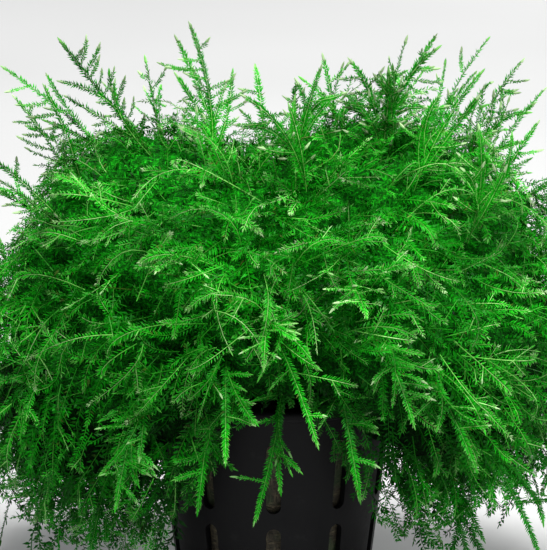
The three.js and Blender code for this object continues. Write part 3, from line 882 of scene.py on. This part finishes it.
def pot_profile():
    """The cup's half section, from the middle of its underside round the wall and lip to the middle of its
    inner floor, with each corner rounded by its own radius."""
    low_lip = POT_HEIGHT - LIP_HEIGHT
    inner_top = POT_TOP_RADIUS - POT_WALL
    inner_foot = pot_radius_at(POT_WALL) - POT_WALL
    corners = [(0, 0), (POT_FOOT_RADIUS, 0), (pot_radius_at(low_lip), low_lip), (LIP_RADIUS, low_lip),
               (LIP_RADIUS, POT_HEIGHT), (inner_top, POT_HEIGHT), (inner_foot, POT_WALL), (0, POT_WALL)]
    profile = [corners[0]]
    for before, corner, after, radius in zip(corners, corners[1:], corners[2:], POT_ROUNDS):
        profile += rounded(before, corner, after, radius)
    return profile + [corners[-1]]


def pot_cutters():
    """The bars that cut the slots, a ring of them for each tier, and the pins that cut the drain holes."""
    cutters = []
    for low, high in SLOT_TIERS:
        points, faces = stadium_cutter(low, high, SLOT_WIDTH, POT_WALL * 5)
        points = points + (pot_radius_at((low + high) / 2) - POT_WALL / 2, 0, 0)
        for i in range(SLOT_COUNT):
            cutters.append((turned(points, (i + 0.5) * 2 * math.pi / SLOT_COUNT), faces))
    turn = np.linspace(0, 2 * np.pi, DRAIN_SIDES, endpoint=False)
    points, faces = swept(DRAIN_RADIUS * np.stack((np.cos(turn), np.sin(turn)), 1), POT_WALL * 4)
    upright = points[:, (1, 2, 0)] + (DRAIN_CIRCLE, 0, POT_WALL / 2)
    for i in range(DRAIN_HOLES):
        cutters.append((turned(upright, i * 2 * math.pi / DRAIN_HOLES), faces))
    return cutters


def make_pot(material):
    """The pot: a turned cup with a rounded lip and foot, from which slots with round ends and drain holes
    are cut."""
    pot = mesh_object("slotted_pot", *lathe(pot_profile(), POT_COLUMNS), smooth=True)
    cutter = mesh_object("pot_cutter", *joined(pot_cutters()))
    cut = pot.modifiers.new("slots", "BOOLEAN")
    cut.operation, cut.object, cut.solver = "DIFFERENCE", cutter, "EXACT"
    finished = bpy.data.meshes.new_from_object(pot.evaluated_get(bpy.context.evaluated_depsgraph_get()))
    pot.modifiers.clear()
    pot.data = finished
    bpy.data.objects.remove(cutter)
    finished.set_sharp_from_angle(angle=math.radians(35))
    dress(pot, material, "pot_plastic", "pot")


def new_material(name):
    """A new material, its node tree and its Principled shader."""
    material = bpy.data.materials.new(name)
    material.use_nodes = True
    tree = material.node_tree
    return material, tree, tree.nodes["Principled BSDF"]


def ramp(tree, factor, stops):
    """A colour ramp over the factor with stops of (position, colour)."""
    made = tree.nodes.new("ShaderNodeValToRGB")
    tree.links.new(factor, made.inputs["Fac"])
    elements = made.color_ramp.elements
    while len(elements) < len(stops):
        elements.new(0.5)
    for element, (position, colour) in zip(elements, stops):
        element.position = position
        element.color = (*colour, 1)
    return made.outputs["Color"]


def mixed(tree, how, factor, first, second):
    """A colour mix of two colours or sockets, by a number or a socket."""
    made = tree.nodes.new("ShaderNodeMix")
    made.data_type, made.blend_type = "RGBA", how
    for socket, value in ((made.inputs[0], factor), (made.inputs[6], first), (made.inputs[7], second)):
        if isinstance(value, bpy.types.NodeSocket):
            tree.links.new(value, socket)
        else:
            socket.default_value = value
    return made.outputs[2]


def mapped(tree, value, low, high, to_low, to_high):
    """A clamped straight-line change of range."""
    made = tree.nodes.new("ShaderNodeMapRange")
    tree.links.new(value, made.inputs["Value"])
    for name, number in zip(("From Min", "From Max", "To Min", "To Max"), (low, high, to_low, to_high)):
        made.inputs[name].default_value = number
    return made.outputs["Result"]


def object_place(tree):
    """The object's own coordinates."""
    return tree.nodes.new("ShaderNodeTexCoord").outputs["Object"]


def times_grey(tree, colour, factor):
    """A colour multiplied by that factor."""
    grey = tree.nodes.new("ShaderNodeCombineColor")
    for name in ("Red", "Green", "Blue"):
        tree.links.new(factor, grey.inputs[name])
    return mixed(tree, "MULTIPLY", 1.0, colour, grey.outputs["Color"])


def bump(tree, shader, height, distance, strength=1.0):
    """Bumps the shader's surface by a height, at most that distance deep."""
    made = tree.nodes.new("ShaderNodeBump")
    made.inputs["Distance"].default_value = distance
    made.inputs["Strength"].default_value = strength
    tree.links.new(height, made.inputs["Height"])
    tree.links.new(made.outputs["Normal"], shader.inputs["Normal"])


def noise(tree, scale, detail=3.0, roughness=0.6):
    """Noise on the object's own coordinates."""
    made = tree.nodes.new("ShaderNodeTexNoise")
    made.inputs["Scale"].default_value = scale
    made.inputs["Detail"].default_value = detail
    made.inputs["Roughness"].default_value = roughness
    tree.links.new(object_place(tree), made.inputs["Vector"])
    return made.outputs["Fac"]


def leaf_material():
    """Moss leaf and stem: deep green in the tangle to bright green, and nearly white at a growing tip, that
    paleness partly a painted glint. The growth mark gives youth, painted light, chance and stem, and the
    painted light darkens the colour as painted shade; a few leaves are olive, and light comes through."""
    material, tree, shader = new_material("moss_leaf")
    mark = tree.nodes.new("ShaderNodeAttribute")
    mark.attribute_name = "growth"
    parts = tree.nodes.new("ShaderNodeSeparateColor")
    tree.links.new(mark.outputs["Color"], parts.inputs["Color"])
    youth, light, chance = (parts.outputs[name] for name in ("Red", "Green", "Blue"))
    leaf = ramp(tree, youth, ((0.0, (0.001, 0.08, 0.001)), (0.35, (0.002, 0.23, 0.002)),
                              (0.6, (0.008, 0.42, 0.005)), (0.8, (0.055, 0.55, 0.03)),
                              (0.92, (0.23, 0.61, 0.13)), (1.0, (0.49, 0.7, 0.36))))
    stem = ramp(tree, youth, ((0.0, (0.006, 0.17, 0.004)), (0.36, (0.045, 0.41, 0.022)),
                              (0.56, (0.24, 0.65, 0.12)), (0.8, (0.44, 0.76, 0.27)),
                              (1.0, (0.5, 0.78, 0.33))))
    colour = mixed(tree, "MIX", mark.outputs["Alpha"], leaf, stem)
    olive = mapped(tree, chance, 0.98, 0.995, 0.0, 0.7)
    colour = mixed(tree, "MIX", olive, colour, (0.16, 0.14, 0.03, 1))
    # Painted shade: the light mark darkens the colour, to a deep green where it is least.
    painted_shade = ramp(tree, light, ((0.0, (0.02, 0.1, 0.02)), (0.5, (0.28, 0.52, 0.26)), (0.9, (0.9, 0.95, 0.9)),
                             (1.0, (1, 1, 1))))
    colour = mixed(tree, "MULTIPLY", 1.0, colour, painted_shade)
    colour = times_grey(tree, colour, mapped(tree, noise(tree, 75, 2.0), 0.35, 0.65, 0.45, 1.15))
    tree.links.new(colour, shader.inputs["Base Color"])
    shader.inputs["Roughness"].default_value = 0.45
    shader.inputs["Specular IOR Level"].default_value = 0.1
    through = tree.nodes.new("ShaderNodeBsdfTranslucent")
    tree.links.new(colour, through.inputs["Color"])
    blend = tree.nodes.new("ShaderNodeMixShader")
    blend.inputs["Fac"].default_value = TRANSLUCENCY
    tree.links.new(shader.outputs["BSDF"], blend.inputs[1])
    tree.links.new(through.outputs["BSDF"], blend.inputs[2])
    tree.links.new(blend.outputs["Shader"], tree.nodes["Material Output"].inputs["Surface"])
    return material


def strands(tree, scale, stretches):
    """The lightest of several noises on the object's coordinates, each turned and stretched its own way, so
    that they cross as matted fibres do."""
    place = object_place(tree)
    found = None
    for turn, stretch in stretches:
        squeeze = tree.nodes.new("ShaderNodeMapping")
        squeeze.inputs["Rotation"].default_value = turn
        squeeze.inputs["Scale"].default_value = stretch
        tree.links.new(place, squeeze.inputs["Vector"])
        fibres = tree.nodes.new("ShaderNodeTexNoise")
        fibres.inputs["Scale"].default_value = scale
        fibres.inputs["Detail"].default_value = 4
        fibres.inputs["Distortion"].default_value = 0.8
        tree.links.new(squeeze.outputs["Vector"], fibres.inputs["Vector"])
        found = mixed(tree, "LIGHTEN", 1.0, found, fibres.outputs["Fac"]) if found else fibres.outputs["Fac"]
    return found


def heart_material():
    """Moss inside the tangle, partly old and partly painted shade: dark green strands that cross, darker low
    down as painted shade, deeply bumped.
    """
    material, tree, shader = new_material("moss_heart")
    tangle = strands(tree, 300, (((0.3, 0.5, 0.4), (6, 6, 1)), ((-0.6, 0.2, -0.5), (1, 5, 6)),
                                 ((0.2, -0.7, 0.9), (5, 1, 5))))
    colour = ramp(tree, tangle, ((0.5, (0.0006, 0.03, 0.0006)), (0.6, (0.002, 0.11, 0.002)),
                                 (0.7, (0.008, 0.3, 0.006)), (0.8, (0.04, 0.5, 0.03))))
    parts = tree.nodes.new("ShaderNodeSeparateXYZ")
    tree.links.new(object_place(tree), parts.inputs["Vector"])
    # Painted shade: darker towards the bottom of the heart, to a tenth below 48 mm.
    colour = times_grey(tree, colour, mapped(tree, parts.outputs["Z"], 48 * MM, 84 * MM, 0.1, 1.0))
    tree.links.new(colour, shader.inputs["Base Color"])
    shader.inputs["Roughness"].default_value = 0.9
    shader.inputs["Specular IOR Level"].default_value = 0.05
    bump(tree, shader, tangle, 0.8 * MM)
    return material


def pot_material():
    """Black moulded plastic, slightly scuffed and dusty with lime in fine patches."""
    material, tree, shader = new_material("pot_plastic")
    scuff = noise(tree, 160, 6.0, 0.7)
    colour = ramp(tree, scuff, ((0.35, (0.002, 0.002, 0.0025)), (0.62, (0.004, 0.004, 0.0045)),
                                (0.8, (0.014, 0.015, 0.014))))
    tree.links.new(colour, shader.inputs["Base Color"])
    shader.inputs["Specular IOR Level"].default_value = 0.09
    tree.links.new(mapped(tree, scuff, 0.3, 0.75, 0.38, 0.62), shader.inputs["Roughness"])
    bump(tree, shader, noise(tree, 1800, 2.0), 0.05 * MM, 0.5)
    return material


def wool_material():
    """Wet rock wool: fine matted fibres in two crossing directions, dark brown with patches of green."""
    material, tree, shader = new_material("rock_wool")
    mat = strands(tree, 260, (((0.5, 0.5, 0), (9, 9, 1.5)), ((-0.7, -0.7, 0), (1.5, 1.5, 8))))
    colour = ramp(tree, mat, ((0.45, (0.012, 0.01, 0.005)), (0.6, (0.045, 0.036, 0.018)),
                              (0.75, (0.13, 0.105, 0.06))))
    mossy = mapped(tree, noise(tree, 130, 2.0), 0.5, 0.62, 0.0, 0.6)
    colour = mixed(tree, "MIX", mossy, colour, (0.012, 0.04, 0.008, 1))
    tree.links.new(colour, shader.inputs["Base Color"])
    shader.inputs["Roughness"].default_value = 0.75
    bump(tree, shader, mat, 0.5 * MM)
    return material


def make_camera():
    """The camera, whose lens makes one pixel of the photograph's frame 0.22 mm at the target."""
    camera = bpy.data.cameras.new("camera")
    camera.sensor_width = SENSOR
    pixel_focal = CAMERA_DISTANCE / (MM_PER_PIXEL * MM)
    camera.lens = SENSOR * pixel_focal / FRAME_HEIGHT
    camera.clip_start, camera.clip_end = 0.02, 20
    obj = bpy.data.objects.new("camera", camera)
    bpy.context.scene.collection.objects.link(obj)
    back = Vector((0, -math.cos(CAMERA_ELEVATION), math.sin(CAMERA_ELEVATION)))
    obj.location = CAMERA_TARGET + back * CAMERA_DISTANCE
    obj.rotation_euler = (-back).to_track_quat("-Z", "Y").to_euler()
    bpy.context.scene.camera = obj


def area_light(name, place, size, watts):
    """A square soft light that looks at the camera's target."""
    light = bpy.data.lights.new(name, "AREA")
    light.size, light.energy = size, watts
    obj = bpy.data.objects.new(name, light)
    bpy.context.scene.collection.objects.link(obj)
    obj.location = place
    obj.rotation_euler = (CAMERA_TARGET - Vector(place)).to_track_quat("-Z", "Y").to_euler()


def make_studio():
    """A pale round floor, pale surroundings, a large soft light overhead, and weaker ones from the right and
    from behind."""
    i = np.arange(FLOOR_SIDES)
    turn = 2 * np.pi * i / FLOOR_SIDES
    rim = FLOOR_RADIUS * np.column_stack((np.cos(turn), np.sin(turn), 0 * turn))
    points = np.concatenate((rim, ((0, 0, 0),)))
    triangles = np.stack((np.full(FLOOR_SIDES, FLOOR_SIDES), i, (i + 1) % FLOOR_SIDES), 1)
    floor = mesh_object("floor", points, triangles)
    material, tree, shader = new_material("floor")
    shade = ramp(tree, noise(tree, 3, 2.0), ((0.3, (0.42, 0.42, 0.415)), (0.7, (0.46, 0.46, 0.455))))
    tree.links.new(shade, shader.inputs["Base Color"])
    shader.inputs["Roughness"].default_value = 0.8
    floor.data.materials.append(material)
    world = bpy.data.worlds.new("studio")
    world.use_nodes = True
    background = world.node_tree.nodes["Background"]
    background.inputs["Color"].default_value = (0.92, 0.95, 1.0, 1)
    background.inputs["Strength"].default_value = 0.24
    bpy.context.scene.world = world
    area_light("overhead", (0.2, -0.8, 2.0), 0.9, 107)
    area_light("right_fill", (0.9, -0.9, 0.6), 0.5, 9)
    area_light("back_fill", (0.5, 1.5, 1.1), 1.0, 14)
    bpy.context.scene.view_settings.view_transform = "Standard"


make_camera()
make_studio()
leaf = leaf_material()
make_heart(heart_material())
make_tangles(leaf)
make_shoots(leaf)
make_pot(pot_material())
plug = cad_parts["rock_wool_plug"]
plug.data.materials.clear()
plug.data.materials.append(wool_material())
